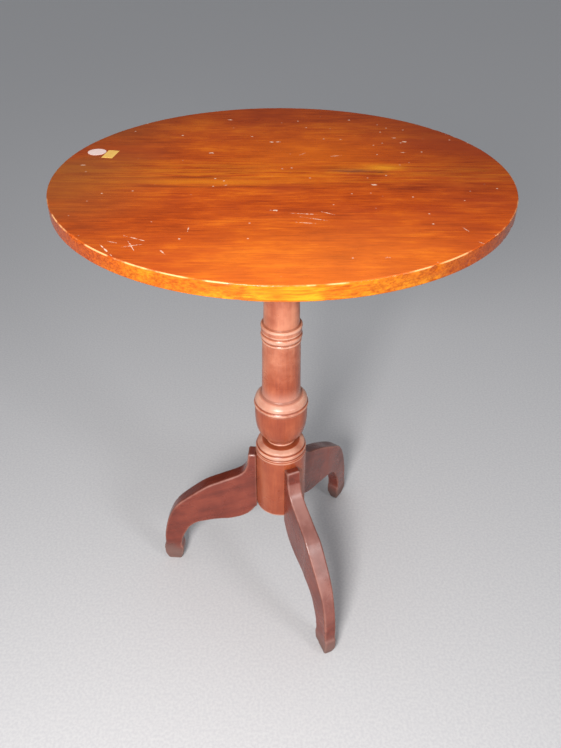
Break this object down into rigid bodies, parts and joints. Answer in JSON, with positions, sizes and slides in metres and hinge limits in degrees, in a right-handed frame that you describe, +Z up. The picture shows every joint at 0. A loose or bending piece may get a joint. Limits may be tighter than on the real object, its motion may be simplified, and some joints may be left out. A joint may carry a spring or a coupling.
{
  "type": "tilt top table",
  "caption": "Round wooden tilt top table: a glued board top hinged on a block, a turned pillar and three dovetailed cabriole legs with pad feet.",
  "frame": {"origin": "on the floor, below the pillar's axis", "axes": "+Z up; X along the top's grain and the tilt axis; -Y is the side of the top that tips down"},
  "size_m": [0.54, 0.5399, 0.7102],
  "materials": {
    "top_wood": "old glossy varnish over orange-red cherry, with scratches",
    "batten_wood": "unfinished, aged and dull",
    "button_wood": "hand worn, satin",
    "pillar_wood": "red-brown stain, satin varnish",
    "leg_wood": "dark red-brown stain, satin varnish, worn at the feet",
    "wedge_wood": "unfinished",
    "screw_steel": "old and dull",
    "iron": "dark, lightly rusted",
    "label_pink": "matt paper",
    "label_yellow": "matt paper"
  },
  "bodies": {
    "base": {"pillar": "pillar_wood", "tenon_wedge": "wedge_wood", "tilt_block": "batten_wood", "leg_right": "leg_wood", "leg_left": "leg_wood", "leg_front": "leg_wood", "spider_plate": "iron", "spider_nails": "iron"},
    "top": {"top_board_front": "top_wood", "top_board_back": "top_wood", "batten_left": "batten_wood", "batten_right": "batten_wood", "batten_screws_left": "screw_steel", "batten_screws_right": "screw_steel", "catch_riser": "batten_wood", "riser_screws": "screw_steel", "catch_washer": "screw_steel", "catch_screw": "screw_steel", "label_dot": "label_pink", "label_tag": "label_yellow"},
    "button": {"catch_button": "button_wood"}
  },
  "joints": [
    {"name": "top_tilt", "type": "hinge", "parent": "base", "child": "top", "pos_m": [0, -0.057, 0.68], "axis": [1, 0, 0], "range_deg": [0, 90]},
    {"name": "catch_turn", "type": "hinge", "parent": "top", "child": "button", "pos_m": [0, 0.087, 0.6615], "axis": [0, 0, 1], "continuous": true}
  ]
}
